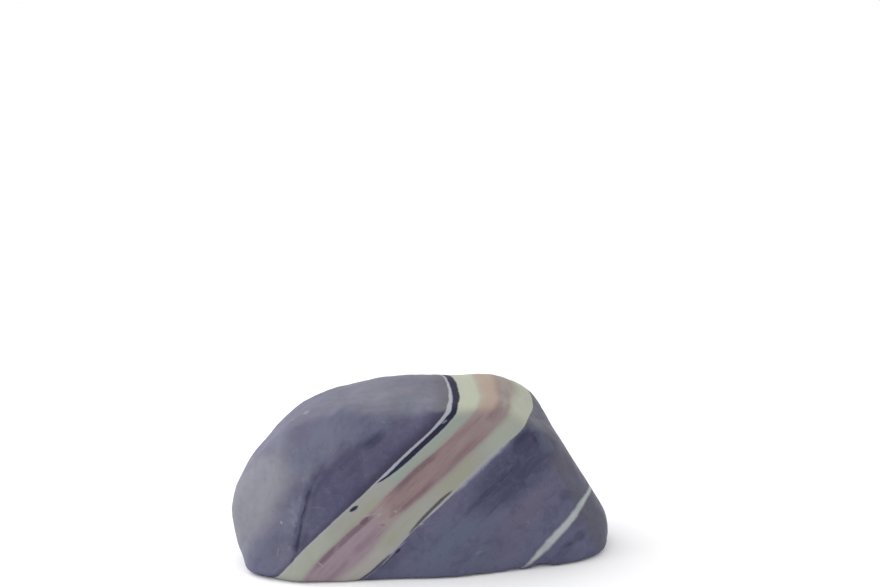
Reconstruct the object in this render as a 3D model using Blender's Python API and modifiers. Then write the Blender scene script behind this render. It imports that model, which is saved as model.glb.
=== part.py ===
"""A water-worn aquascaping rock: one long, low stone with soft planes, rounded shoulders and a flat underside.

Metres, +Z up. The long side runs along X and the broad front face looks towards -Y.
The origin lies on the underside, below the middle of the bounding box.
"""

import math

import bmesh
import bpy
from mathutils import Matrix, Vector

MM = 0.001
NAME = "stone"

# The planes that the rock broke along
# Each row is a name, the compass angle that the plane faces (0 is the front, positive towards +X) and its rise
# above the horizon, both in degrees, and its distance from the heart of the rock in millimetres
HEART = Vector((0.0, 0.0, 40.0)) * MM
FACETS = (
    ("front_left", -8, 3, 33.0),
    ("front_right", 5, 5, 34.0),
    ("shoulder", -13, 40, 46.5),
    ("shoulder_left", -33, 30, 51.0),
    ("chamfer", -35, 5, 54.5),
    ("left_front", -55, 12, 67.5),
    ("top", -11, 81, 44.5),
    ("top_left_flat", -100, 80, 47.5),
    ("top_left", -100, 66, 54.5),
    ("left_slope", -104, 44, 65.5),
    ("left_mid", -102, 30, 75.0),
    ("left", -100, 10, 87.5),
    ("left_under", -102, -12, 92.0),
    ("left_low", -99, -26, 92.0),
    ("left_foot", -100, -53, 86.5),
    ("top_right_flat", 72, 66, 54.5),
    ("top_right", 76, 48, 57.0),
    ("right_front", 45, 22, 59.5),
    ("right", 83, 31, 64.5),
    ("right_low", 78, 9, 85.0),
    ("right_under", 74, -15, 96.5),
    ("right_foot", 66, -39, 94.0),
    ("front_foot", 40, -30, 82.0),
    ("top_back", 170, 60, 46.0),
    ("back_upper", -170, 36, 46.0),
    ("back", 174, 2, 37.0),
    ("back_left", -140, 6, 66.0),
    ("back_right", 128, 10, 68.0),
    ("back_foot", 178, -40, 57.0),
)

# How the block starts and how far it reaches below the underside before that is cut flat
BLOCK_SIDE = 260.0 * MM
CUT_BELOW = 22.0 * MM

# Wear: the grid of the worn surface, and how strongly the edges between the planes are rounded
GRID = 3.5 * MM
WEAR_PASSES = 10
WEAR_FACTOR = 0.5

# Broad lumps and finer dents left on the planes
LUMP_SPAN = 34.0 * MM
LUMP_HEIGHT = 2.0 * MM
DENT_SPAN = 13.0 * MM
DENT_HEIGHT = 0.8 * MM
NEUTRAL = 0.5

# The flat underside and the worn arris round it
UNDERSIDE_ARRIS = 0.7 * MM
ARRIS_ANGLE = 40.0

# Colour of the dark slate-like body
BODY_COLOUR = (0.105, 0.11, 0.165, 1.0)
BODY_ROUGHNESS = 0.5


def clear_scene():
    for obj in list(bpy.data.objects):
        bpy.data.objects.remove(obj, do_unlink=True)


def collection(name, hidden):
    made = bpy.data.collections.new(name)
    made.hide_render = hidden
    bpy.context.scene.collection.children.link(made)
    return made


def facing(compass, rise):
    turn = math.radians(compass)
    lift = math.radians(rise)
    return Vector((math.sin(turn) * math.cos(lift), -math.cos(turn) * math.cos(lift), math.sin(lift)))


def cut_back_to(bm, point, outward):
    """Cuts away everything beyond the plane and closes the cut."""
    geometry = bm.verts[:] + bm.edges[:] + bm.faces[:]
    cut = bmesh.ops.bisect_plane(bm, geom=geometry, plane_co=point, plane_no=outward, clear_outer=True)
    rim = [piece for piece in cut["geom_cut"] if isinstance(piece, bmesh.types.BMEdge)]
    if rim:
        bmesh.ops.contextual_create(bm, geom=rim)


def broken_block():
    """The rock as it broke: a block cut back to each plane in turn."""
    bm = bmesh.new()
    bmesh.ops.create_cube(bm, size=BLOCK_SIDE, matrix=Matrix.Translation(HEART))
    for _, compass, rise, reach in FACETS:
        outward = facing(compass, rise)
        cut_back_to(bm, HEART + outward * reach * MM, outward)
    cut_back_to(bm, Vector((0.0, 0.0, -CUT_BELOW)), Vector((0.0, 0.0, -1.0)))
    bmesh.ops.recalc_face_normals(bm, faces=bm.faces[:])
    mesh = bpy.data.meshes.new(NAME)
    bm.to_mesh(mesh)
    bm.free()
    return mesh


def material():
    made = bpy.data.materials.new("stone")
    made.use_nodes = True
    shader = made.node_tree.nodes["Principled BSDF"]
    shader.inputs["Base Color"].default_value = BODY_COLOUR
    shader.inputs["Roughness"].default_value = BODY_ROUGHNESS
    shader.inputs["Metallic"].default_value = 0.0
    made.diffuse_color = BODY_COLOUR
    return made


def noise(name, span, depth):
    made = bpy.data.textures.new(name, "CLOUDS")
    made.noise_scale = span
    made.noise_depth = depth
    return made


def wear(stone):
    """Rounds the edges between the planes, then lays the lumps and dents on them."""
    grid = stone.modifiers.new("worn_grid", "REMESH")
    grid.mode = "VOXEL"
    grid.voxel_size = GRID
    grid.use_smooth_shade = True
    rounding = stone.modifiers.new("rounding", "SMOOTH")
    rounding.factor = WEAR_FACTOR
    rounding.iterations = WEAR_PASSES
    for name, span, height in (("lumps", LUMP_SPAN, LUMP_HEIGHT), ("dents", DENT_SPAN, DENT_HEIGHT)):
        relief = stone.modifiers.new(name, "DISPLACE")
        relief.texture = noise(name, span, 1)
        relief.texture_coords = "LOCAL"
        relief.strength = height
        relief.mid_level = NEUTRAL


def underside_cutter(group):
    bpy.ops.mesh.primitive_cube_add(size=BLOCK_SIDE, location=(0.0, 0.0, -BLOCK_SIDE / 2))
    cutter = bpy.context.object
    cutter.name = "underside_cutter"
    for owner in list(cutter.users_collection):
        owner.objects.unlink(cutter)
    group.objects.link(cutter)
    cutter.hide_render = True
    cutter.display_type = "WIRE"
    return cutter


def flatten_underside(stone, cutter):
    cut = stone.modifiers.new("underside", "BOOLEAN")
    cut.operation = "DIFFERENCE"
    cut.object = cutter
    arris = stone.modifiers.new("arris", "BEVEL")
    arris.width = UNDERSIDE_ARRIS
    arris.segments = 1
    arris.limit_method = "ANGLE"
    arris.angle_limit = math.radians(ARRIS_ANGLE)


def centre_over_origin(stone):
    """Slides the stone so that the middle of its bounding box stands over the origin."""
    graph = bpy.context.evaluated_depsgraph_get()
    shape = stone.evaluated_get(graph)
    points = [corner.co for corner in shape.to_mesh().vertices]
    for axis in (0, 1):
        values = [point[axis] for point in points]
        stone.location[axis] = -(min(values) + max(values)) / 2
    shape.to_mesh_clear()


def main():
    clear_scene()
    rock = collection("Aquascaping rock", False)
    helpers = collection("Cutters", True)
    stone = bpy.data.objects.new(NAME, broken_block())
    rock.objects.link(stone)
    stone.data.materials.append(material())
    wear(stone)
    flatten_underside(stone, underside_cutter(helpers))
    bpy.context.view_layer.update()
    centre_over_origin(stone)
    bpy.context.view_layer.update()


if __name__ == "__main__":
    main()
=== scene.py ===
"""The finish of a banded aquascaping rock: its worn surface, its beds and veins, and a plain stage."""

import math

import bpy
from bpy.props import FloatProperty, FloatVectorProperty, PointerProperty
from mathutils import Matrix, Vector


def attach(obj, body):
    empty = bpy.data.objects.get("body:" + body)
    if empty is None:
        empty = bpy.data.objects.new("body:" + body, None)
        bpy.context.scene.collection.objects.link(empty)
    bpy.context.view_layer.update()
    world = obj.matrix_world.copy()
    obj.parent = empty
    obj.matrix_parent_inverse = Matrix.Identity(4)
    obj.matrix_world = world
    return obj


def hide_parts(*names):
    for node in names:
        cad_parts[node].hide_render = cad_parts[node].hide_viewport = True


bl_info = {
    "name": "Banded Aquascaping Rock",
    "version": (1, 0, 0),
    "blender": (4, 5, 0),
    "location": "View3D > Sidebar > Rock",
    "description": "Dresses a plain stone solid as a water-worn, banded aquascaping rock",
    "category": "Add Mesh",
}

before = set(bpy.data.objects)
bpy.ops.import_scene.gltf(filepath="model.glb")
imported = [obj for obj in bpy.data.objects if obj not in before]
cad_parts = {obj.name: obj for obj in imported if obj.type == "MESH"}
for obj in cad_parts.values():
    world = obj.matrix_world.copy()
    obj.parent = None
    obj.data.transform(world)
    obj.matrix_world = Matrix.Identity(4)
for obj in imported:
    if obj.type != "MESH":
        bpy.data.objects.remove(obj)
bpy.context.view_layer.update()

MM = 0.001
RIGHTWARD = (1.0, 0.0, 0.0)
BACKWARD = (0.0, 1.0, 0.0)
UPWARD = (0.0, 0.0, 1.0)

# The stage: the camera's sensor in millimetres, the point that the light faces, the key light and the floor
SENSOR_WIDTH = 36.0
STONE_MIDDLE = Vector((0.0, 0.0, 43.0)) * MM
KEY_DISTANCE = 1.1
KEY_SIZE = 1.3
FLOOR_SIZE = 8.0
FLOOR_DROP = 0.2 * MM
FLOOR_ROUGHNESS = 0.9
WHITE = (1.0, 1.0, 1.0, 1.0)

# The surface: points nearer than this are one point, how much each pass melts, and the relief's neutral grey
SAME_POINT = 0.01 * MM
MELT_STRENGTH = 0.5
NEUTRAL = 0.5

# The most that a carved form moves the surface, and the smallest share of it that is carried out
DEEPEST = 3.0 * MM
LEAST_SHARE = 0.01
INWARD = -1.0
OUTWARD = 1.0

# The underside stays flat: the swellings and the relief come in over these heights above it
SOLE = 3.0 * MM
RELIEF_START = 6.0 * MM

# The crease, in millimetres: where it stops towards the back, half its groove's width, and its flaked side:
# how far ahead of the groove that starts, how soon it is at full depth, and how far on it fades
CREASE_BACK = -15.0
GROOVE_HALF = 1.1
FLAKE_LEAD = 0.8
FLAKE_RAMP = 1.6
FLAKE_REACH = 8.0

# The crease's depth follows half a wave, without this share of it at each end
CREASE_ENDS = 0.05

# The finish: how strongly it reflects, and the bump of its grain
SPECULAR = 0.2
BUMP_STRENGTH = 0.4
BUMP_DISTANCE = 0.6 * MM

# The way that the stone's two ends face, as a turn from the front and a rise
LEFT_END = (math.radians(-96), math.radians(25))
RIGHT_END = (math.radians(80), math.radians(20))

# Shifts that keep one noise from following another
DRIFT_SHIFT = (7.0, 41.0, 23.0)
SCRATCH_SHIFT = (31.0, 17.0, 5.0)

# Places on the stone are given by the beds: how far along them and how far across them, in millimetres
ALONG_BEDS = Vector((0.707, 0.0, 0.707))

# How softly the beds start to lean over behind the front rim, in millimetres
BEND = 7.0

# How far the beds' lines cut the corner where they turn over the front rim, in millimetres
TURN_CUT = 0.9

# Edges of the pale band and of its core, as points (along, across)
UPPER_EDGE = (
    (-55, 53.8), (-42, 54.1), (-30, 53.8), (-18, 53.4), (-8, 52.9), (-1, 52.5), (6, 52.3), (12, 52.4),
    (19, 52.7), (30, 53.1), (48, 53.1), (60, 53.8), (68, 53.2), (76, 53.1),
)
LOWER_EDGE = (
    (-30, 25.8), (-20, 24.2), (-13, 23.2), (-4, 22.5), (8, 23.2), (30, 22.9), (48, 22.8), (62, 22.5),
    (80, 22.4),
)
CORE_TOP = (
    (-48, 44.4), (-40, 45.4), (-30, 45.8), (-20, 45.1), (-8, 44.2), (3, 43.6), (14, 44.3), (30, 44.6),
    (48, 43.8), (61, 43.9), (69, 43.6), (77, 43.8),
)
CORE_FOOT = (
    (-40, 34.6), (-28, 33.2), (-16, 31.0), (-6, 31.6), (3, 33.0), (12, 33.2), (24, 32.4), (40, 32.0),
    (62, 32.0), (74, 32.6),
)

# Middles of the lines that run with the band
NAVY_LINE = ((14, 51.7), (20, 50.9), (32, 50.6), (48, 50.8), (57, 51.0), (62, 51.3), (67, 51.6), (74, 51.5))
LOW_STRIPE = ((-40, 36.8), (-28, 35.8), (-14, 35.4), (0, 35.2), (16, 34.4), (36, 33.9), (60, 34.4))
BROWN_LINE = (
    (-28, 25.2), (-20, 24.0), (-12, 23.2), (-4, 22.9), (8, 23.8), (16, 24.5), (27, 24.9), (38, 24.4),
)
VEIN_MIDDLE = ((22, -27.0), (30, -29.3), (40, -29.9), (50, -29.6), (60, -28.8), (69, -28.3), (76, -28.4))

# Where along the beds the stripes and the brown line show: start, end, softness, strength
HIGH_STRETCHES = ((-33.0, 1.0, 3.0, 0.85), (17.0, 42.0, 5.0, 0.85))
LOW_STRETCHES = (
    (-36.0, -22.0, 3.0, 0.45), (-18.0, 0.0, 4.0, 0.45), (12.0, 32.0, 4.0, 0.8), (34.0, 57.0, 5.0, 0.5))
BROWN_STRETCHES = ((-28.0, -7.0, 1.5, 0.9), (7.0, 34.5, 1.5, 0.9))

# The fold across the front: a crease at its left end; below it the front carries painted shade, and above it
# the body is paler, with a painted highlight just above its left end
FOLD = (
    (-38, 55.4), (-34, 57.2), (-24, 63.1), (-15, 68.0), (-8, 71.8), (-2, 73.2), (5, 72.0), (19, 71.6),
    (28, 70.0), (33, 66.5), (38, 62.5), (46, 59.5), (56, 57.5),
)
CREASE = FOLD[:6]

# Right edge of the painted sheen on the left end, as points (height, left or right of the middle)
SHEEN_EDGE = (
    (4, -88.5), (12, -86.5), (20, -81.5), (28, -76.0), (37, -72.5), (48, -68.5), (57, -66.8),
    (68, -65.5), (80, -62.0),
)

# Chips on the rim and swellings, each a place, a radius and a depth or height in millimetres
CHIPS = (
    ((-90.0, 6.6, 13.4), 5.0, 0.9), ((-85.0, 4.0, 1.5), 6.0, 0.9), ((75.0, -24.0, 0.5), 5.0, 1.6),
    ((63.0, -30.5, 0.0), 4.5, 1.1), ((51.0, -35.5, 0.0), 6.0, 1.3), ((37.0, -37.0, 0.0), 4.0, 0.9),
    ((12.0, -36.0, 0.0), 4.0, 1.0), ((-46.0, -14.6, 79.1), 3.5, 0.6), ((-36.8, -3.5, 81.7), 4.5, 0.7),
    ((-44.0, -18.0, 70.0), 4.0, 0.4), ((-63.0, -17.0, 58.0), 3.0, 0.4),
)
SWELLINGS = (
    ((-75.0, -21.0, 3.0), 22.0, 2.8), ((-88.0, 0.0, 9.0), 16.0, 0.8), ((45.0, 5.0, 79.0), 24.0, 1.5),
)

# Soft blotches of the body: along, across, half length, half width, strength; the dark ones at along -9, 12
# and 28 and the deep one at 27.5 lie just under the fold and are painted shade there
DARK_BLOTCHES = (
    (74.0, 17.5, 7.0, 4.5, 0.9), (79.5, 14.0, 3.0, 3.5, 0.9), (62.0, 9.0, 30.0, 13.0, 1.0),
    (42.0, 11.3, 26.0, 1.6, 0.4), (51.0, -38.0, 6.0, 2.8, 0.8), (59.0, -38.5, 3.5, 3.2, 0.8),
    (69.0, -18.0, 2.5, 4.0, 0.6), (43.0, -37.0, 4.0, 1.6, 0.5), (-31.0, 57.2, 6.0, 2.4, 1.0),
    (12.0, 69.5, 15.0, 3.0, 0.6), (45.0, 65.5, 9.0, 5.0, 0.5), (28.0, 67.2, 7.0, 2.8, 1.1),
    (-9.0, 69.0, 6.0, 2.8, 0.8), (10.0, 64.0, 10.0, 2.0, 0.4),
)
DEEP_BLOTCHES = (
    (75.0, 19.6, 5.5, 2.6, 0.5), (79.0, 14.2, 2.6, 3.2, 0.6), (-33.0, 56.8, 3.0, 1.6, 0.4),
    (27.5, 67.8, 4.0, 1.3, 0.4), (52.5, -38.2, 3.0, 1.5, 0.3), (66.5, -17.0, 1.6, 2.6, 0.3),
    (59.0, 11.0, 10.0, 0.9, 0.3), (40.0, 3.0, 12.0, 0.8, 0.25),
)
LILAC_BLOTCHES = (
    (62.0, -10.0, 26.0, 9.0, 0.6), (34.0, -15.0, 18.0, 8.0, 0.4), (80.0, 0.0, 6.0, 12.0, 0.6),
    (20.0, 64.0, 26.0, 5.0, 0.4),
)
BLUE_BLOTCHES = (
    (14.0, 8.0, 24.0, 11.0, 0.75), (22.0, -9.0, 10.0, 4.0, 0.5), (46.0, -22.0, 20.0, 3.5, 0.5),
    (6.0, 80.0, 22.0, 6.0, 0.8), (-20.0, 59.0, 12.0, 4.0, 0.4),
)

# Nicks, flecks and scratches: start and end as (along, across), and half the width
DARK_STROKES = (((-4.6, 51.0), (0.3, 50.0), 0.8), ((-4.8, 21.4), (-1.4, 21.3), 0.6))
MAUVE_STROKES = (((0.4, 36.2), (2.2, 34.5), 0.45), ((-6.0, 43.2), (-0.5, 43.0), 1.0))
MAUVE_BLOTCHES = ((75.0, 36.5, 6.0, 3.0, 0.15), (8.0, 35.5, 3.0, 1.2, 0.4))
PALE_STROKES = (
    ((54.6, 51.7), (57.6, 51.2), 0.3), ((12.7, 23.5), (14.8, 22.5), 0.35),
    ((2.6, 40.2), (5.0, 40.0), 0.35), ((9.4, 36.0), (10.4, 35.2), 0.4),
    ((-32.2, 45.6), (-31.9, 42.6), 0.25), ((-3.5, 46.0), (3.6, 41.3), 0.15),
)
FAINT_STROKES = (
    ((-15.5, 64.8), (-11.0, 60.2), 0.15), ((-6.0, 65.6), (-3.5, 63.2), 0.15),
    ((20.0, -6.5), (23.5, -8.0), 0.7), ((36.0, 70.0), (37.4, 68.4), 0.35),
    ((35.8, 17.3), (36.4, 16.8), 0.3), ((-44.0, 60.0), (-40.0, 62.0), 0.4),
)

# Pale specks on the left shoulder, each a place and a radius in millimetres
SPECKS = (
    ((-56.0, -5.0, 75.0), 2.4), ((-62.5, -4.0, 72.0), 1.5), ((-58.0, -13.0, 69.0), 1.1),
    ((-56.0, -16.0, 67.5), 1.1), ((-71.0, -22.0, 28.0), 1.2),
)


def shade(red, green, blue):
    """A colour given as the eye sees it, from 0 to 255, as the linear values that a shader takes."""
    return tuple(
        ((level / 255 + 0.055) / 1.055) ** 2.4 if level > 10 else level / 255 / 12.92
        for level in (red, green, blue))


def facing(turn, rise):
    """A direction by its turn from the front, positive towards +X, and its rise, in radians."""
    return Vector((math.sin(turn) * math.cos(rise), -math.cos(turn) * math.cos(rise), math.sin(rise)))


def clamp(value):
    return min(1.0, max(0.0, value))


def across_beds(beds, plain, along, depth):
    """Distance across the beds, which sag along their run and lean over behind the front rim."""
    behind = depth - beds.rim
    behind = (behind + (behind ** 2.0 + BEND ** 2.0) ** 0.5 - BEND) / 2.0
    return plain + beds.sag * (along / beds.sag_span) ** 2.0 - beds.lean * behind


def colour_value(name, description, red, green, blue):
    """A colour that a user can change, given as the eye sees it."""
    return FloatVectorProperty(
        name=name, description=description, subtype="COLOR", default=shade(red, green, blue))


def angle_value(name, description, degrees):
    """An angle that a user can change."""
    return FloatProperty(name=name, description=description, subtype="ANGLE", default=math.radians(degrees))


class RockSurface(bpy.types.PropertyGroup):
    """Sizes of the worn surface."""

    grid: FloatProperty(
        name="Surface grid", description="Spacing of the finished surface's points",
        default=0.86 * MM, unit="LENGTH")
    melt: FloatProperty(
        name="Melt passes", description="How often the solid's flat faces are smoothed into each other",
        default=58)
    lump_span: FloatProperty(
        name="Lump span", description="Width of the broad, soft lumps", default=21 * MM, unit="LENGTH")
    lump_height: FloatProperty(
        name="Lump height", description="Height of the broad, soft lumps", default=0.9 * MM, unit="LENGTH")
    hollow_span: FloatProperty(
        name="Hollow span", description="Width of the shallow hollows", default=9 * MM, unit="LENGTH")
    hollow_height: FloatProperty(
        name="Hollow depth", description="Depth of the shallow hollows", default=0.42 * MM, unit="LENGTH")
    dent_span: FloatProperty(
        name="Dent span", description="Width of the small dents", default=3.6 * MM, unit="LENGTH")
    dent_height: FloatProperty(
        name="Dent height", description="Depth of the small dents", default=0.2 * MM, unit="LENGTH")
    crease_depth: FloatProperty(
        name="Crease depth", description="Depth of the groove along the crease, in millimetres", default=0.9)
    flake_depth: FloatProperty(
        name="Flake depth", description="How far the flaked side of the crease lies back, in millimetres",
        default=1.1)


class RockBeds(bpy.types.PropertyGroup):
    """How the beds lie, in millimetres across and along them."""

    turn: angle_value("Bed turn", "Compass direction that the beds face, from the front", -95)
    rise: angle_value("Bed rise", "Rise of the beds' facing direction above the horizon", 45)
    sag: FloatProperty(
        name="Bed sag", description="How far a bed bends away from its plane at the sag span", default=2.3)
    sag_span: FloatProperty(
        name="Bed sag span", description="Distance along the bed at which the sag is measured", default=50.0)
    rim: FloatProperty(name="Front rim", description="Depth behind which the beds lean over", default=-33.0)
    lean: FloatProperty(
        name="Bed lean", description="Shift across the beds for each millimetre of depth", default=0.135)
    spread: FloatProperty(
        name="Band spread", description="How much thicker the band's lower half is behind the front rim",
        default=8.4)
    navy_half: FloatProperty(
        name="Navy line", description="Half the thickness of the navy line", default=1.25)
    vein_half: FloatProperty(name="Vein", description="Half the thickness of the thin pale vein", default=2.2)


class RockColours(bpy.types.PropertyGroup):
    """The stone's colours."""

    slate: colour_value("Slate", "Body of the stone", 86, 86, 111)
    dark_slate: colour_value("Dark slate", "Darker beds of the body", 56, 56, 80)
    blue_slate: colour_value("Blue slate", "Bluer, greyer beds of the body", 84, 90, 110)
    lilac: colour_value("Lilac", "Violet beds of the body", 92, 87, 106)
    plum: colour_value("Plum", "Dark violet bed against the band", 50, 45, 68)
    # Fold shade: painted shade on the front below the fold.
    fold_shade: colour_value("Fold shade", "Darker front below the fold", 69, 67, 93)
    # Dull grey: painted shade on the faces that turn to the right end, and the halo around the thin vein.
    dull: colour_value("Dull grey", "Painted shade of the right end, and the vein's halo", 73, 72, 80)
    # Painted sheen: a pale highlight painted on the faces that turn to the left end and on the top.
    painted_sheen: colour_value("Painted sheen", "Pale highlight painted on the faces that turn to the light", 157, 157, 154)
    cream: colour_value("Cream", "Pale grey of the band", 141, 141, 136)
    # Light cream is also the band's painted top light on upward faces.
    light_cream: colour_value("Light cream", "Pale of the band where it crosses the top", 165, 168, 151)
    rosy_cream: colour_value("Rosy cream", "Warmer grey of the band near the foot", 150, 146, 144)
    green_cream: colour_value("Green cream", "Cooler, greener pale of the band", 132, 143, 134)
    warm_cream: colour_value("Warm cream", "Yellower pale of the band", 138, 138, 121)
    pink: colour_value("Pink", "Core of the band", 127, 108, 110)
    cool_pink: colour_value("Cool pink", "Core near the foot", 135, 120, 130)
    pale_pink: colour_value("Pale pink", "Paler places of the core", 140, 126, 125)
    mauve: colour_value("Mauve", "Dark stripes in the core", 97, 77, 85)
    # Peach is the core's painted top light on upward faces.
    peach: colour_value("Peach", "Core where it crosses the top", 158, 141, 129)
    navy: colour_value("Navy", "Dark line and fleck in the band", 24, 24, 50)
    white: colour_value("White", "Pale lines, nicks and specks", 152, 153, 166)
    brown: colour_value("Brown", "Dark olive line under the band", 60, 55, 60)
    vein: colour_value("Vein", "Thin pale vein", 158, 164, 166)


class RockStage(bpy.types.PropertyGroup):
    """The view and the light."""

    view_turn: angle_value("View turn", "Camera's turn from the front", -12)
    view_rise: angle_value("View rise", "Camera's height as an angle", 20)
    distance: FloatProperty(
        name="Distance", description="From the camera to the stone's middle", default=1.0, unit="LENGTH")
    lens: FloatProperty(name="Lens", description="Focal length in millimetres", default=85.0)
    aim_right: FloatProperty(
        name="Aim right", description="How far right of the stone's middle the camera aims",
        default=9.2 * MM, unit="LENGTH")
    aim_above: FloatProperty(
        name="Aim above", description="How far above the stone's middle the camera aims",
        default=82.3 * MM, unit="LENGTH")
    surround: FloatProperty(name="Surround", description="Strength of the white surround", default=1.05)
    key: FloatProperty(name="Key", description="Power of the large soft light", default=9.0, unit="POWER")
    key_turn: angle_value("Key turn", "Key light's turn from the front", -108)
    key_rise: angle_value("Key rise", "Key light's height as an angle", 32)


class Value:
    """A shader socket that can stand in a sum, a product or a power."""

    def __init__(self, finish, socket):
        self.finish = finish
        self.socket = socket

    def math(self, operation, first, second=0.0):
        return self.finish.node("ShaderNodeMath", {"operation": operation}, {0: first, 1: second})

    def __add__(self, other):
        return self.math("ADD", self, other)

    def __radd__(self, other):
        return self.math("ADD", other, self)

    def __sub__(self, other):
        return self.math("SUBTRACT", self, other)

    def __rsub__(self, other):
        return self.math("SUBTRACT", other, self)

    def __mul__(self, other):
        return self.math("MULTIPLY", self, other)

    def __rmul__(self, other):
        return self.math("MULTIPLY", other, self)

    def __truediv__(self, other):
        return self.math("DIVIDE", self, other)

    def __pow__(self, other):
        return self.math("POWER", self, other)

    def __abs__(self):
        return self.math("ABSOLUTE", self)


def lay_stops(ramp, stops):
    """Sets a ramp's stops, each a position and a grey, on one smooth curve."""
    ramp.interpolation = "CARDINAL"
    while len(ramp.elements) < len(stops):
        ramp.elements.new(1.0)
    for element, (position, grey) in zip(ramp.elements, stops):
        element.position = position
        element.color = (grey, grey, grey, 1.0)


class Finish:
    """A material's node tree, and the one method that adds a node to it."""

    def __init__(self, name):
        self.material = bpy.data.materials.new(name)
        self.material.use_nodes = True
        self.tree = self.material.node_tree
        self.shader = self.tree.nodes["Principled BSDF"]

    def feed(self, socket, value):
        if isinstance(value, Value):
            self.tree.links.new(value.socket, socket)
        elif socket.type == "RGBA" and len(value) == 3:
            socket.default_value = (*value, 1.0)
        else:
            socket.default_value = value

    def node(self, kind, settings=None, inputs=None, output=0):
        made = self.tree.nodes.new(kind)
        for name, value in (settings or {}).items():
            if name == "stops":
                lay_stops(made.color_ramp, value)
            else:
                setattr(made, name, value)
        for name, value in (inputs or {}).items():
            self.feed(made.inputs[name], value)
        return Value(self, made.outputs[output])

    def mix(self, mask, first, second):
        """The first colour where the mask is 0 and the second where it is 1."""
        settings = {"data_type": "RGBA", "blend_type": "MIX", "clamp_factor": True}
        return self.node("ShaderNodeMix", settings, {0: mask, 6: first, 7: second}, 2)

    def rise(self, value, low, high):
        """0 at low and 1 at high, with a soft start and end."""
        return self.node(
            "ShaderNodeMapRange", {"interpolation_type": "SMOOTHSTEP"},
            {"Value": value, "From Min": low, "From Max": high})

    def between(self, value, low, high, soft):
        """1 from low to high, fading to 0 over the soft width at each end."""
        return self.rise(value, low - soft, low + soft) * self.rise(value, high + soft, high - soft)

    def line(self, value, middle, half, soft):
        """1 within half a width of the middle, with soft edges."""
        return self.rise(abs(value - middle) - half, soft, -soft)

    def course(self, along, points):
        """A height that runs smoothly through the points, each a position along the beds and a height."""
        first, last = points[0][0], points[-1][0]
        heights = [height for _, height in points]
        low, span = min(heights), max(heights) - min(heights)
        stops = [((at - first) / (last - first), (height - low) / span) for at, height in points]
        run = self.node("ShaderNodeMapRange", None, {"Value": along, "From Min": first, "From Max": last})
        return self.node("ShaderNodeValToRGB", {"stops": stops}, {"Fac": run}) * span + low

    def noise(self, place, scale, detail=2.0, roughness=0.5, distortion=0.0):
        return self.node("ShaderNodeTexNoise", {"noise_dimensions": "3D"}, {
            "Vector": place, "Scale": scale, "Detail": detail, "Roughness": roughness,
            "Distortion": distortion})

    def vector(self, operation, first, second, output=0):
        return self.node("ShaderNodeVectorMath", {"operation": operation}, {0: first, 1: second}, output)

    def measure(self, vector, direction):
        """How far a vector reaches in a direction."""
        return self.vector("DOT_PRODUCT", vector, direction, 1)

    def combine(self, x, y, z):
        return self.node("ShaderNodeCombineXYZ", None, {"X": x, "Y": y, "Z": z})


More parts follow.
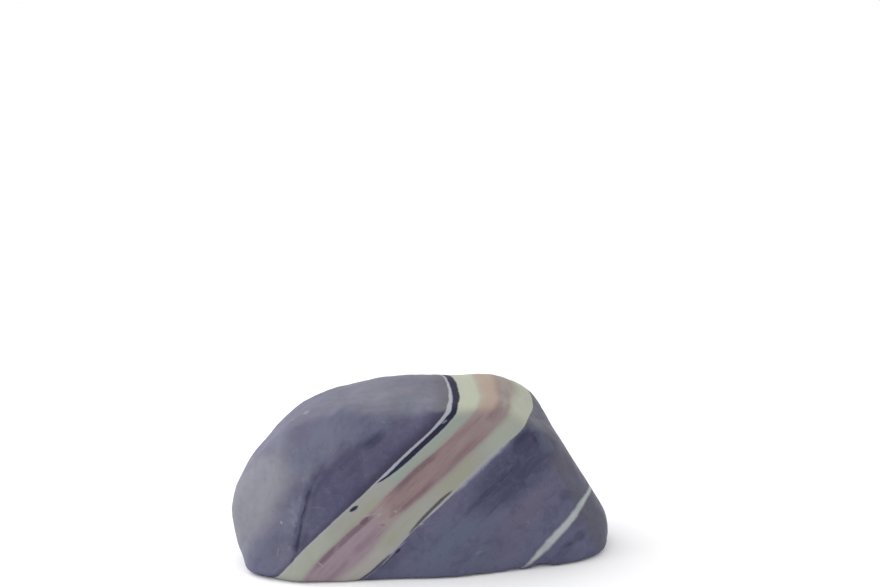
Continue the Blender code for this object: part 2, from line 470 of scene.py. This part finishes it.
class BandedStone(Finish):
    """The stone's finish: a slate body in soft beds, one pale band with a pink core, and a thin vein."""

    def __init__(self, beds, ink):
        super().__init__("banded_stone")
        self.beds = beds
        self.ink = ink
        raw = self.node("ShaderNodeTexCoord", None, None, 3)
        self.place = self.vector("MULTIPLY", raw, (1 / MM, 1 / MM, 1 / MM))
        self.normal = self.node("ShaderNodeTexCoord", None, None, 1)
        self.depth = self.measure(self.place, BACKWARD)
        self.height = self.measure(self.place, UPWARD)
        self.along = self.measure(self.place, ALONG_BEDS)
        plain = self.measure(self.place, facing(beds.turn, beds.rise))
        plain = across_beds(beds, plain, self.along, self.depth)
        wander = (self.noise(self.place, 0.05, 1.0) - 0.5) * 0.4
        wander = wander + (self.noise(self.place, 0.55, 3.0) - 0.5) * 0.5
        spread = beds.spread * self.rise(plain, 38.0, 20.0) * self.rise(self.depth, beds.rim + 2.0, 1.0)
        turn = self.between(self.depth, beds.rim + 1.5, beds.rim + 7.0, 4.0)
        turn = turn * self.rise(self.height, 71.0, 79.0)
        self.across = plain + spread + wander - turn * TURN_CUT
        self.front = self.rise(self.depth, -10.0, -20.0)
        self.upward = self.measure(self.normal, UPWARD)
        self.grain = self.noise(self.place, 1.6, 4.0, 0.7)
        self.mottle = self.noise(self.place, 0.16, 5.0, 0.65)

    def streaks(self, length, thickness, depth, seed, detail=4.0):
        """Noise drawn out along the beds; the three sizes are millimetres for one turn of it."""
        shifted = self.combine(self.along / length + seed, self.across / thickness, self.depth / depth)
        return self.noise(shifted, 1.0, detail, 0.6, 0.25)

    def blotches(self, spots):
        """Soft-edged ellipses on the front, added up."""
        total = 0.0
        for along, across, half_length, half_width, strength in spots:
            reach = ((self.along - along) / half_length) ** 2.0
            reach = reach + (abs(self.across - across) / half_width) ** 2.0
            total = total + self.rise(reach, 1.3, 0.0) * strength
        return total * self.front

    def stretches(self, runs):
        """Where along the beds a stripe shows, and how strongly, added up."""
        total = 0.0
        for start, end, soft, strength in runs:
            total = total + self.between(self.along, start, end, soft) * strength
        return total

    def strokes(self, marks, soft):
        """Short straight marks on the front, added up."""
        total = 0.0
        for (start_along, start_across), (end_along, end_across), half in marks:
            length = math.hypot(end_along - start_along, end_across - start_across)
            lead = ((end_along - start_along) / length, (end_across - start_across) / length)
            by_along = self.along - start_along
            by_across = self.across - start_across
            run = by_along * lead[0] + by_across * lead[1]
            off = by_across * lead[0] - by_along * lead[1]
            bulge = 1.0 - abs(run / length * 2.0 - 1.0) ** 3.0
            total = total + self.between(run, 0.0, length, soft) * self.line(off, 0.0, half * bulge, soft)
        return total * self.front

    def body(self):
        """The slate: broad soft beds and blotches, a dark bed against the band, painted shade on the right
        end, below the fold and in the crease, and a painted highlight just above the fold.
        """
        ink = self.ink
        broad = self.streaks(34.0, 13.0, 30.0, 3.0)
        tint = self.streaks(46.0, 17.0, 40.0, 11.0, 2.0)
        fine = self.streaks(13.0, 3.6, 9.0, 23.0, 2.0)
        colour = self.mix(self.rise(broad, 0.62, 0.34) * 0.4, ink.slate, ink.dark_slate)
        bluer = self.rise(tint, 0.5, 0.7) * 0.5 + self.blotches(BLUE_BLOTCHES)
        colour = self.mix(bluer, colour, ink.blue_slate)
        violet = self.rise(tint, 0.5, 0.32) * 0.35 + self.blotches(LILAC_BLOTCHES)
        colour = self.mix(violet, colour, ink.lilac)
        # Painted shade: the faces that turn to the right end are painted darker and greyer.
        right = self.measure(self.normal, facing(*RIGHT_END))
        colour = self.mix(self.rise(right, 0.5, 0.8) * 0.7, colour, ink.dull)
        # Painted shade: the front below the fold is darkened, less so towards the right.
        fold = self.across - self.course(self.along, FOLD) + (self.mottle - 0.5) * 4.0
        blur = 0.5 + 1.1 * self.rise(self.along, -12.0, 2.0) + 1.8 * self.rise(self.along, 26.0, 40.0)
        fading = 1.0 - 0.45 * self.rise(self.along, 28.0, 44.0)
        shaded = self.rise(fold, blur, blur * -1.0) * self.front * fading
        colour = self.mix(shaded * self.rise(self.across, 30.0, 50.0) * 0.75, colour, ink.fold_shade)
        # Dark and deep blotches; those just under the fold are painted shade.
        colour = self.mix(self.blotches(DARK_BLOTCHES) * self.rise(fine, 0.05, 0.55), colour, ink.dark_slate)
        colour = self.mix(self.blotches(DEEP_BLOTCHES) * self.rise(fine, 0.25, 0.5), colour, ink.navy)
        # Painted highlight: a paler strip just above the fold's left end, in the painted sheen's colour.
        fold_highlight = self.between(fold, 1.2, 7.0, 1.2) * self.between(self.along, -38.0, -4.0, 4.0) * self.front
        colour = self.mix(fold_highlight * self.rise(self.mottle, 0.5, 0.6) * 0.12, colour, ink.painted_sheen)
        # Painted shade: a dark line along the crease at the fold's left end.
        crease_shade = self.line(fold, -0.6, 0.45, 1.1) * self.between(self.along, -38.0, -10.0, 4.0) * self.front
        colour = self.mix(crease_shade * self.rise(self.mottle, 0.25, 0.5) * 0.75, colour, ink.navy)
        colour = self.mix(self.rise(fine, 0.52, 0.8) * 0.28, colour, ink.blue_slate)
        colour = self.mix(self.rise(self.mottle, 0.49, 0.3) * 0.32, colour, ink.dark_slate)
        colour = self.mix(self.rise(self.mottle, 0.51, 0.7) * 0.3, colour, ink.lilac)
        drift = self.noise(self.vector("ADD", self.place, DRIFT_SHIFT), 0.11, 4.0, 0.6, 0.6)
        colour = self.mix(self.rise(drift, 0.5, 0.68) * 0.4, colour, ink.blue_slate)
        colour = self.mix(self.rise(drift, 0.48, 0.32) * 0.3, colour, ink.dark_slate)
        return self.mix(self.plum_bed() * 0.9, colour, ink.plum)

    def plum_bed(self):
        """The dark bed on the band's upper side, thin at the foot and broad higher up."""
        above = self.across - self.course(self.along, UPPER_EDGE)
        width = 2.6 + 3.6 * self.rise(self.along, -14.0, 8.0)
        strength = 0.5 + 0.5 * self.rise(self.along, -16.0, 6.0)
        return self.rise(above, width, 0.4) * self.rise(above, -2.0, -0.2) * strength

    def painted_sheen(self):
        """How much painted sheen a face carries, a painted highlight: most on the left end, some on the top.
        """
        towards_left = self.measure(self.normal, facing(*LEFT_END))
        sideways = self.measure(self.place, RIGHTWARD)
        inward = sideways - self.course(self.height, SHEEN_EDGE) + (self.mottle - 0.5) * 8.0
        cover = self.rise(inward, 6.0, -4.5) * self.rise(towards_left, 0.2, 0.55) * 0.29
        cover = cover + 0.085 * self.rise(towards_left, 0.1, 0.5)
        cover = cover * (0.8 + 0.2 * self.rise(self.height, 8.0, 32.0))
        cover = cover * self.rise(self.upward, 0.85, 0.2)
        swept = self.noise(self.combine(sideways / 30.0, self.depth / 9.0, self.height / 9.0), 1.0, 3.0, 0.55)
        top = self.rise(self.upward, 0.56, 0.98) * (0.7 + 0.3 * self.rise(sideways, -52.0, -26.0))
        cover = cover + 0.23 * top * (0.75 + 0.5 * self.rise(swept, 0.3, 0.7))
        return cover * (0.9 + 0.2 * self.rise(self.mottle, 0.3, 0.7))

    def band(self):
        """The pale band: cream sides, a pink core with dark stripes, and peach where it crosses the top; on
        upward faces its pale and its core are painted lighter, as top light.
        """
        ink = self.ink
        over_top = self.rise(self.upward, 0.2, 0.95)
        tone = self.streaks(30.0, 6.0, 20.0, 5.0, 3.0)
        pale = self.mix(self.rise(tone, 0.5, 0.68) * 0.7, ink.cream, ink.warm_cream)
        cool = self.between(self.along, 19.0, 64.0, 3.0) * self.rise(self.across, 42.0, 46.0)
        warm = self.between(self.along, 30.0, 52.0, 7.0) * self.rise(self.across, 33.0, 29.0)
        mossy = self.rise(self.along, 54.0, 66.0) * self.rise(self.across, 35.0, 30.0)
        left = self.rise(self.along, -10.0, -24.0) * self.rise(self.across, 42.0, 46.0)
        pale = self.mix(cool * (0.55 + 0.4 * self.rise(tone, 0.6, 0.4)) + left * 0.4, pale, ink.green_cream)
        pale = self.mix(warm * 0.7, pale, ink.warm_cream)
        pale = self.mix(mossy * (0.25 + 0.4 * self.rise(self.mottle, 0.4, 0.6)), pale, ink.green_cream)
        pale = self.mix(mossy * 0.25 + left * 0.2, pale, ink.light_cream)
        rosy = self.between(self.along, -34.0, -6.0, 5.0) * self.rise(self.across, 36.0, 32.0)
        pale = self.mix(rosy * 0.7, pale, ink.rosy_cream)
        # Painted top light: on upward faces the band's pale is painted as light cream.
        pale = self.mix(over_top, pale, ink.light_cream)

        top = self.across - self.course(self.along, CORE_TOP)
        foot = self.across - self.course(self.along, CORE_FOOT)
        blur = 0.45 + 0.8 * self.between(self.along, 0.0, 12.0, 3.0) + 1.3 * self.rise(self.along, 46.0, 70.0)
        core = self.rise(top, blur, blur * -1.0) * self.rise(foot, -1.1, 0.9)
        broken = over_top * self.rise(self.across, 38.5, 35.0) * self.rise(self.mottle, 0.35, 0.6) * 0.7
        core = core * (1.0 - broken)
        halo = self.rise(foot, -3.2, 0.2) * self.rise(top, 1.8, 0.0)
        inner = self.mix(self.rise(self.along, -2.0, 10.0), ink.cool_pink, ink.pink)
        inner = self.mix(self.between(self.along, 0.0, 9.0, 4.0) * 0.8, inner, ink.pale_pink)
        inner = self.mix(self.rise(tone, 0.5, 0.3) * 0.3, inner, ink.pale_pink)
        inner = self.mix(self.rise(self.along, 58.0, 70.0) * 0.4, inner, ink.pale_pink)
        drawn = self.streaks(16.0, 2.0, 12.0, 31.0, 3.0)
        inner = self.mix(self.rise(drawn, 0.52, 0.72) * 0.26, inner, ink.mauve)
        inner = self.mix(self.rise(drawn, 0.52, 0.3) * 0.4, inner, ink.pale_pink)
        # Painted top light: on upward faces the core is painted as peach.
        inner = self.mix(over_top * self.rise(self.across, 36.0, 40.0), inner, ink.peach)
        colour = self.mix(halo * 0.35, pale, ink.pink)
        colour = self.mix(core, colour, inner)
        return self.mix(self.stripes(top) * self.rise(self.mottle, 0.2, 0.5) * 0.9, colour, ink.mauve)

    def stripes(self, top):
        """The core's two dark stripes, which fade in and out; top is the distance from its upper edge."""
        high = self.between(top, -2.7, -0.2, 0.6) * self.stretches(HIGH_STRETCHES)
        low = self.line(self.across, self.course(self.along, LOW_STRIPE), 1.1, 1.5)
        low = low * self.stretches(LOW_STRETCHES)
        bend = self.line(self.across, 37.0, 1.2, 2.4) * self.between(self.along, 64.0, 80.0, 4.0)
        bend = bend * self.rise(self.mottle, 0.56, 0.4) * 0.4
        return high + low + bend + self.strokes(MAUVE_STROKES, 0.6) * 0.6 + self.blotches(MAUVE_BLOTCHES)

    def edge_lines(self, colour, upper, lower):
        """The thin lines along the band's edges; upper and lower are the distances from those edges."""
        ink = self.ink
        along = self.along
        fringe = self.between(upper, -0.9, 0.0, 0.3) * self.rise(along, 24.0, 14.0) * 0.35
        over_top = self.rise(self.upward, 0.35, 0.85)
        navy_off = self.across - self.course(along, NAVY_LINE)
        white = self.rise(upper, 0.2, -0.2) * self.rise(navy_off, -0.1, 0.1) * self.rise(along, 12.0, 18.0)
        colour = self.mix(fringe + white * 0.85, colour, ink.white)
        half = self.beds.navy_half * (0.4 * self.rise(along, 13.0, 17.0) + 0.6 * self.rise(along, 17.0, 32.0))
        navy = self.line(navy_off, 0.0, half - over_top * 0.25, 0.3) * self.rise(along, 12.5, 15.5)
        under = self.between(navy_off, -2.3, -1.5, 0.4) * self.rise(along, 16.0, 24.0) * 0.2
        colour = self.mix(under, colour, ink.white)
        colour = self.mix(navy, colour, ink.navy)

        border = self.between(lower, -1.1, 1.1, 0.9) * self.between(along, 37.0, 66.0, 4.0)
        thin = self.line(lower, 0.55, 0.25, 0.25) * self.between(along, 16.0, 36.0, 3.0)
        low_thin = self.line(self.across, 22.1, 0.15, 0.22) * self.between(along, -13.0, 2.0, 2.0)
        foot_thin = self.line(lower, -1.1, 0.12, 0.22) * self.between(along, -26.0, -17.0, 2.0)
        colour = self.mix(border * 0.5 + thin * 0.7 + low_thin * 0.7 + foot_thin * 0.5, colour, ink.white)
        thick = 0.4 + 0.35 * self.between(along, 12.0, 32.0, 4.0)
        brown = self.line(self.across, self.course(along, BROWN_LINE), thick, 0.5)
        brown = brown * self.stretches(BROWN_STRETCHES)
        second = self.line(self.across, 21.4, 0.25, 0.35) * self.between(along, -15.0, -1.0, 1.5)
        return self.mix(brown + second * 0.9, colour, ink.brown)

    def marks(self, colour):
        """The thin vein, and the nicks, flecks, scratches and specks."""
        ink = self.ink
        taper = self.rise(self.along, 22.0, 46.0) - 0.45 * self.rise(self.along, 66.0, 80.0)
        half = self.beds.vein_half * (0.1 + 0.9 * taper)
        off = self.across - self.course(self.along, VEIN_MIDDLE)
        half = half + (self.noise(self.place, 0.22, 2.0) - 0.5) * 1.3
        halo = self.line(off, 0.0, half + 0.6, 1.4)
        vein = self.line(off, 0.0, half - 0.5, 1.0)
        colour = self.mix(halo * 0.35, colour, ink.dull)
        colour = self.mix(vein * (0.8 + 0.2 * self.rise(self.mottle, 0.35, 0.6)), colour, ink.vein)
        colour = self.mix(self.strokes(DARK_STROKES, 0.4), colour, ink.navy)
        colour = self.mix(self.strokes(PALE_STROKES, 0.28) * 0.6, colour, ink.white)
        colour = self.mix(self.strokes(FAINT_STROKES, 0.35) * 0.14, colour, ink.white)
        return self.mix(self.specks() * 0.55, colour, ink.white)

    def specks(self):
        """Small pale spots, each at its own place."""
        total = 0.0
        for (x, y, z), radius in SPECKS:
            reach = self.vector("DISTANCE", self.place, (x, y, z), 1)
            total = total + self.rise(reach, radius, radius * 0.3)
        return total * self.rise(self.grain, 0.3, 0.6)

    def scratches(self):
        """Hairlines that come and go all over the stone."""
        swirl = self.noise(self.vector("ADD", self.place, SCRATCH_SHIFT), 0.09, 2.0, 0.5, 1.4)
        return self.rise(abs(swirl - 0.5), 0.0035, 0.001) * self.rise(self.mottle, 0.5, 0.62)

    def lay(self):
        """Builds the whole finish and returns its material."""
        ink = self.ink
        upper = self.across - self.course(self.along, UPPER_EDGE)
        lower = self.across - self.course(self.along, LOWER_EDGE)
        frayed = self.between(self.along, 36.0, 70.0, 3.0)
        lower = lower + (self.noise(self.place, 0.35, 2.0) - 0.5) * 1.6 * frayed
        inside = self.rise(upper, 0.25, -0.25) * self.rise(lower, -0.3 - 0.6 * frayed, 0.3 + 0.6 * frayed)
        # Painted sheen: the faces towards the left end and the top are painted paler.
        body = self.mix(self.painted_sheen(), self.body(), ink.painted_sheen)
        colour = self.mix(inside, body, self.band())
        colour = self.edge_lines(colour, upper, lower)
        colour = self.marks(colour)
        scratch = self.scratches()
        colour = self.mix(scratch * 0.25, colour, ink.white)
        colour = self.mix(self.rise(self.grain, 0.52, 0.8) * 0.14, colour, ink.white)
        colour = self.mix(self.rise(self.grain, 0.48, 0.2) * 0.18, colour, ink.dark_slate)
        self.feed(self.shader.inputs["Base Color"], colour)
        rough = 0.46 + self.rise(self.mottle, 0.3, 0.7) * 0.16 + inside * 0.04
        self.feed(self.shader.inputs["Roughness"], rough)
        self.feed(self.shader.inputs["Specular IOR Level"], SPECULAR)
        height = self.mottle * 0.4 + self.grain * 0.14 - scratch * 0.1
        bump = self.node(
            "ShaderNodeBump", None, {"Strength": BUMP_STRENGTH, "Distance": BUMP_DISTANCE, "Height": height})
        self.feed(self.shader.inputs["Normal"], bump)
        return self.material


def deselect_all():
    if bpy.context.object and bpy.context.object.mode != "OBJECT":
        bpy.ops.object.mode_set(mode="OBJECT")
    bpy.ops.object.select_all(action="DESELECT")


def apply_modifier(piece, name, kind, settings):
    made = piece.modifiers.new(name, kind)
    for key, value in settings.items():
        setattr(made, key, value)
    bpy.context.view_layer.objects.active = piece
    bpy.ops.object.modifier_apply(modifier=made.name)


def relief_texture(name, span):
    made = bpy.data.textures.new(name, "CLOUDS")
    made.noise_scale = span
    made.noise_depth = 2
    return made


def weigh(piece, name, weight_at):
    """A vertex group whose weight at each point comes from the point's place."""
    group = piece.vertex_groups.new(name=name)
    for point in piece.data.vertices:
        weight = weight_at(point.co)
        if weight > LEAST_SHARE:
            group.add([point.index], weight, "REPLACE")
    return group.name


def raise_relief(piece, name, span, height, group):
    apply_modifier(piece, name, "DISPLACE", {
        "texture": relief_texture(name, span), "texture_coords": "LOCAL", "strength": height,
        "mid_level": NEUTRAL, "vertex_group": group})


def carve(piece, name, way, depth_at):
    """Moves the surface in or out, at each point by the depth in millimetres that its place calls for."""
    group = weigh(piece, name, lambda place: depth_at(place) * MM / DEEPEST)
    apply_modifier(piece, name, "DISPLACE", {
        "strength": way * DEEPEST, "mid_level": 0.0, "vertex_group": group})


def beside(path, at):
    """Distance from a line of points, negative on its upper left, and how far along it that is."""
    best = (math.inf, 0.0)
    for number, (start, end) in enumerate(zip(path, path[1:])):
        step = (end[0] - start[0], end[1] - start[1])
        length = math.hypot(*step)
        run = ((at[0] - start[0]) * step[0] + (at[1] - start[1]) * step[1]) / length ** 2
        run = clamp(run)
        gap = (at[0] - start[0] - run * step[0], at[1] - start[1] - run * step[1])
        side = step[0] * gap[1] - step[1] * gap[0]
        distance = math.hypot(*gap) * (-1 if side > 0 else 1)
        if abs(distance) < abs(best[0]):
            best = (distance, (number + run) / (len(path) - 1))
    return best


def crease_depth(sizes, beds, place):
    """How deep the crease and its flaked side lie at a point, in millimetres."""
    point = place / MM
    if point.y > CREASE_BACK:
        return 0.0
    along = point.dot(ALONG_BEDS)
    plain = point.dot(facing(beds.turn, beds.rise))
    distance, run = beside(CREASE, (along, across_beds(beds, plain, along, point.y)))
    swell = math.sin(math.pi * (CREASE_ENDS + (1.0 - 2.0 * CREASE_ENDS) * run)) ** 0.5
    groove = math.exp(-(distance / GROOVE_HALF) ** 2)
    fade = math.exp(-(max(0.0, distance) / FLAKE_REACH) ** 2)
    flake = clamp((distance + FLAKE_LEAD) / FLAKE_RAMP) * fade
    return (sizes.crease_depth * groove + sizes.flake_depth * flake) * swell


def round_spots(spots, place):
    """The strongest of some round spots at a point, in millimetres."""
    point = place / MM
    return max(
        height * max(0.0, 1.0 - (point - Vector(centre)).length_squared / radius ** 2)
        for centre, radius, height in spots)


def swelling_height(place):
    """How far the swellings raise a point, in millimetres."""
    return clamp(place.z / SOLE) * round_spots(SWELLINGS, place)


class ROCK_OT_surface(bpy.types.Operator):
    """Melts the solid's flat faces into one worn surface and gives it fine relief and its banded finish"""

    bl_idname = "rock.surface"
    bl_label = "Stone"

    def execute(self, context):
        sizes = context.scene.rock_surface
        beds = context.scene.rock_beds
        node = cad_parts["stone"]
        deselect_all()
        stone = bpy.data.objects.new("stone_surface", node.data.copy())
        context.scene.collection.objects.link(stone)
        stone.data.materials.clear()
        context.view_layer.objects.active = stone
        stone.select_set(True)
        bpy.ops.object.mode_set(mode="EDIT")
        bpy.ops.mesh.select_all(action="SELECT")
        bpy.ops.mesh.remove_doubles(threshold=SAME_POINT)
        bpy.ops.object.mode_set(mode="OBJECT")
        apply_modifier(stone, "fine grid", "REMESH", {"mode": "VOXEL", "voxel_size": sizes.grid})
        apply_modifier(stone, "melt", "SMOOTH", {"factor": MELT_STRENGTH, "iterations": int(sizes.melt)})
        above = weigh(stone, "above the underside", lambda place: clamp(place.z / RELIEF_START))
        raise_relief(stone, "lumps", sizes.lump_span, sizes.lump_height, above)
        raise_relief(stone, "hollows", sizes.hollow_span, sizes.hollow_height, above)
        carve(stone, "swellings", OUTWARD, swelling_height)
        carve(stone, "crease", INWARD, lambda place: crease_depth(sizes, beds, place))
        carve(stone, "chips", INWARD, lambda place: round_spots(CHIPS, place))
        raise_relief(stone, "dents", sizes.dent_span, sizes.dent_height, above)
        bpy.ops.object.shade_smooth()
        stone.data.materials.append(BandedStone(beds, context.scene.rock_colours).lay())
        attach(stone, "root")
        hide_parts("stone")
        return {"FINISHED"}


def plain_paint(name, colour, roughness):
    finish = Finish(name)
    finish.feed(finish.shader.inputs["Base Color"], colour)
    finish.feed(finish.shader.inputs["Roughness"], roughness)
    return finish.material


def soft_light(name, turn, rise, distance, size, power):
    """A round area light that faces the stone's middle."""
    place = STONE_MIDDLE + facing(turn, rise) * distance
    bpy.ops.object.light_add(type="AREA", location=place)
    light = bpy.context.object
    light.name = name
    light.data.shape = "DISK"
    light.data.size = size
    light.data.energy = power
    light.rotation_euler = (STONE_MIDDLE - place).to_track_quat("-Z", "Y").to_euler()


class ROCK_OT_stage(bpy.types.Operator):
    """Lays the pale floor, sets the white surround and the soft light, and places the camera"""

    bl_idname = "rock.stage"
    bl_label = "Stage"

    def execute(self, context):
        view = context.scene.rock_stage
        deselect_all()
        bpy.ops.mesh.primitive_plane_add(size=FLOOR_SIZE, location=(0.0, 0.0, -FLOOR_DROP))
        floor = context.object
        floor.name = "floor"
        floor.data.materials.append(plain_paint("pale_floor", shade(248, 248, 249), FLOOR_ROUGHNESS))
        world = bpy.data.worlds.new("white surround")
        world.use_nodes = True
        world.node_tree.nodes["Background"].inputs["Color"].default_value = WHITE
        world.node_tree.nodes["Background"].inputs["Strength"].default_value = view.surround
        context.scene.world = world
        soft_light("key", view.key_turn, view.key_rise, KEY_DISTANCE, KEY_SIZE, view.key)
        place_camera(context.scene, view)
        context.scene.view_settings.view_transform = "Standard"
        return {"FINISHED"}


def place_camera(scene, view):
    back = facing(view.view_turn, view.view_rise)
    place = STONE_MIDDLE + back * view.distance
    right = (-back).cross(Vector(UPWARD)).normalized()
    above = right.cross(-back)
    aim = STONE_MIDDLE + right * view.aim_right + above * view.aim_above
    bpy.ops.object.camera_add(location=place)
    camera = bpy.context.object
    camera.name = "camera"
    camera.data.lens = view.lens
    camera.data.sensor_width = SENSOR_WIDTH
    camera.rotation_euler = (aim - place).to_track_quat("-Z", "Y").to_euler()
    scene.camera = camera


class ROCK_PT_sidebar(bpy.types.Panel):
    """Lists the stone's steps and values in the 3D view's sidebar"""

    bl_idname = "ROCK_PT_sidebar"
    bl_label = "Banded Rock"
    bl_space_type = "VIEW_3D"
    bl_region_type = "UI"
    bl_category = "Rock"

    def draw(self, context):
        scene = context.scene
        for group in (scene.rock_surface, scene.rock_beds, scene.rock_colours, scene.rock_stage):
            box = self.layout.box()
            for name in group.bl_rna.properties.keys():
                if name not in ("rna_type", "name"):
                    box.prop(group, name)
        self.layout.operator(ROCK_OT_surface.bl_idname)
        self.layout.operator(ROCK_OT_stage.bl_idname)


GROUPS = {
    "rock_surface": RockSurface, "rock_beds": RockBeds, "rock_colours": RockColours, "rock_stage": RockStage}
CLASSES = (*GROUPS.values(), ROCK_OT_surface, ROCK_OT_stage, ROCK_PT_sidebar)


def register():
    for made in CLASSES:
        bpy.utils.register_class(made)
    for name, group in GROUPS.items():
        setattr(bpy.types.Scene, name, PointerProperty(type=group))


def unregister():
    for name in GROUPS:
        delattr(bpy.types.Scene, name)
    for made in reversed(CLASSES):
        bpy.utils.unregister_class(made)


def main():
    register()
    bpy.ops.rock.surface()
    bpy.ops.rock.stage()


if __name__ == "__main__":
    main()
